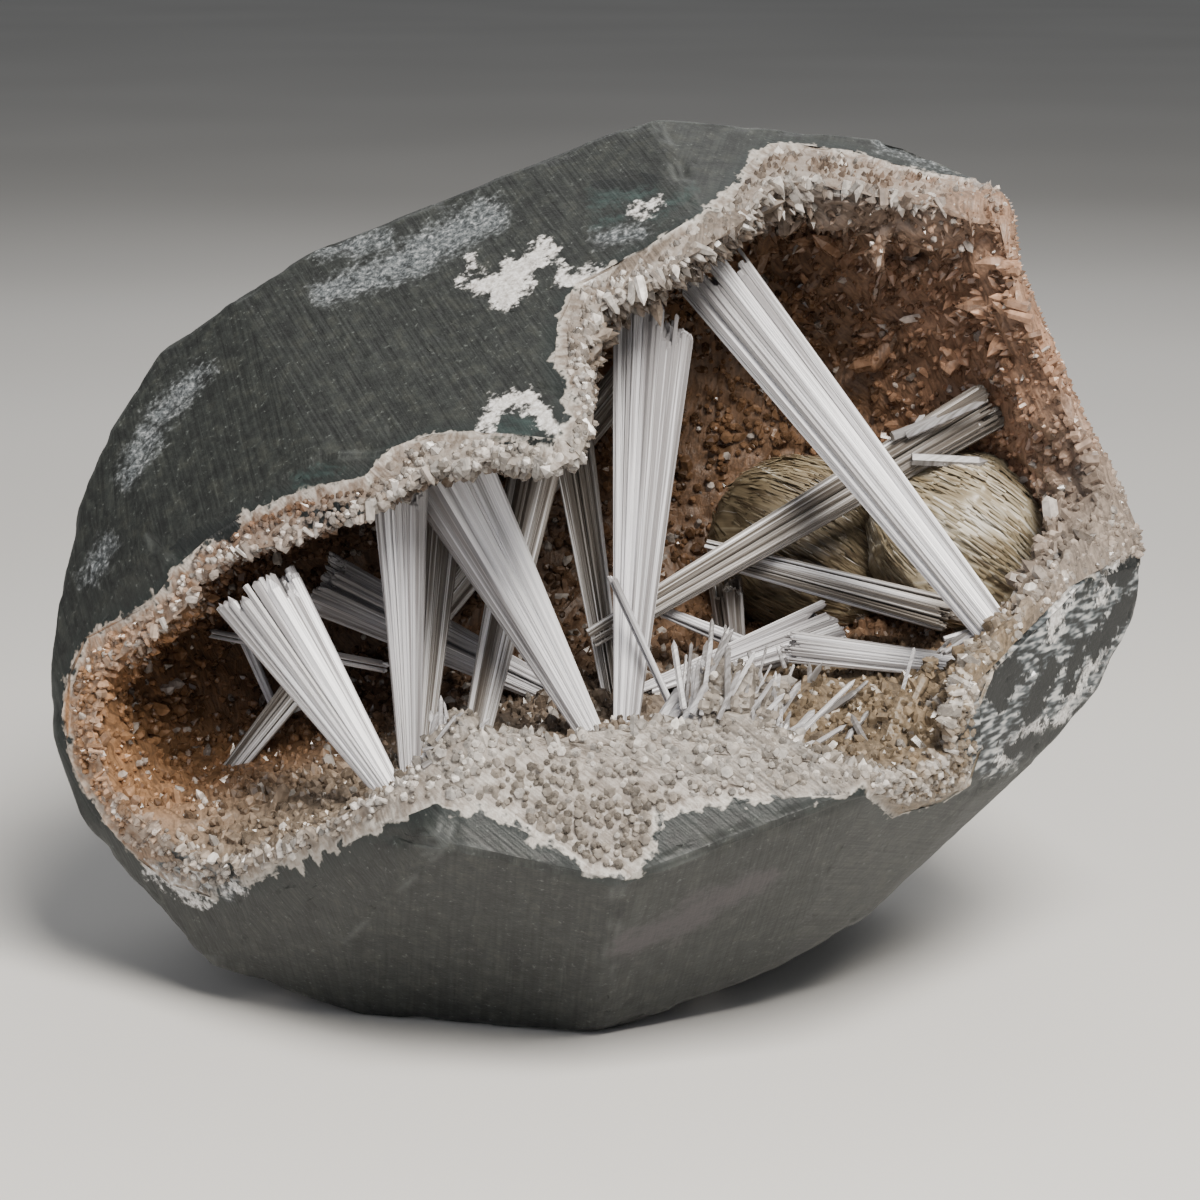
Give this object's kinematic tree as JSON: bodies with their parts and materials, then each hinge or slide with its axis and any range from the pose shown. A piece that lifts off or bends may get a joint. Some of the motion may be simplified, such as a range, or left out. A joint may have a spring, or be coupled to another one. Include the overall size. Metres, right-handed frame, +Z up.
{
  "type": "scolecite geode",
  "caption": "Faceted basalt nodule opened at the front, its hollow lined with small crystals and holding bundled sprays of needle-like scolecite and a stilbite fan.",
  "frame": {"origin": "centre of the bounding box's underside, in the plane of the ground base facet", "axes": "+Z up as the stone rests, the open mouth faces -Y, +X to the right as seen from the front"},
  "size_m": [0.1296, 0.0992, 0.1012],
  "materials": {
    "basalt": "sawn and worn, matt",
    "druse": "fine crystal faces, ground flat at the rim",
    "scolecite": "silky crystal",
    "stilbite": "pearly crystal"
  },
  "bodies": {
    "root": {"basalt_shell": "basalt", "druse_crust": "druse", "scolecite_spray_01": "scolecite", "scolecite_spray_02": "scolecite", "scolecite_spray_03": "scolecite", "scolecite_spray_04": "scolecite", "scolecite_spray_05": "scolecite", "scolecite_spray_06": "scolecite", "scolecite_spray_07": "scolecite", "scolecite_spray_08": "scolecite", "scolecite_spray_09": "scolecite", "scolecite_spray_10": "scolecite", "scolecite_spray_11": "scolecite", "scolecite_spray_12": "scolecite", "scolecite_spray_13": "scolecite", "scolecite_spray_14": "scolecite", "scolecite_spray_15": "scolecite", "scolecite_spray_16": "scolecite", "scolecite_needle_01": "scolecite", "scolecite_needle_02": "scolecite", "scolecite_needle_03": "scolecite", "scolecite_needle_04": "scolecite", "stilbite_sheaf": "stilbite"}
  },
  "joints": []
}
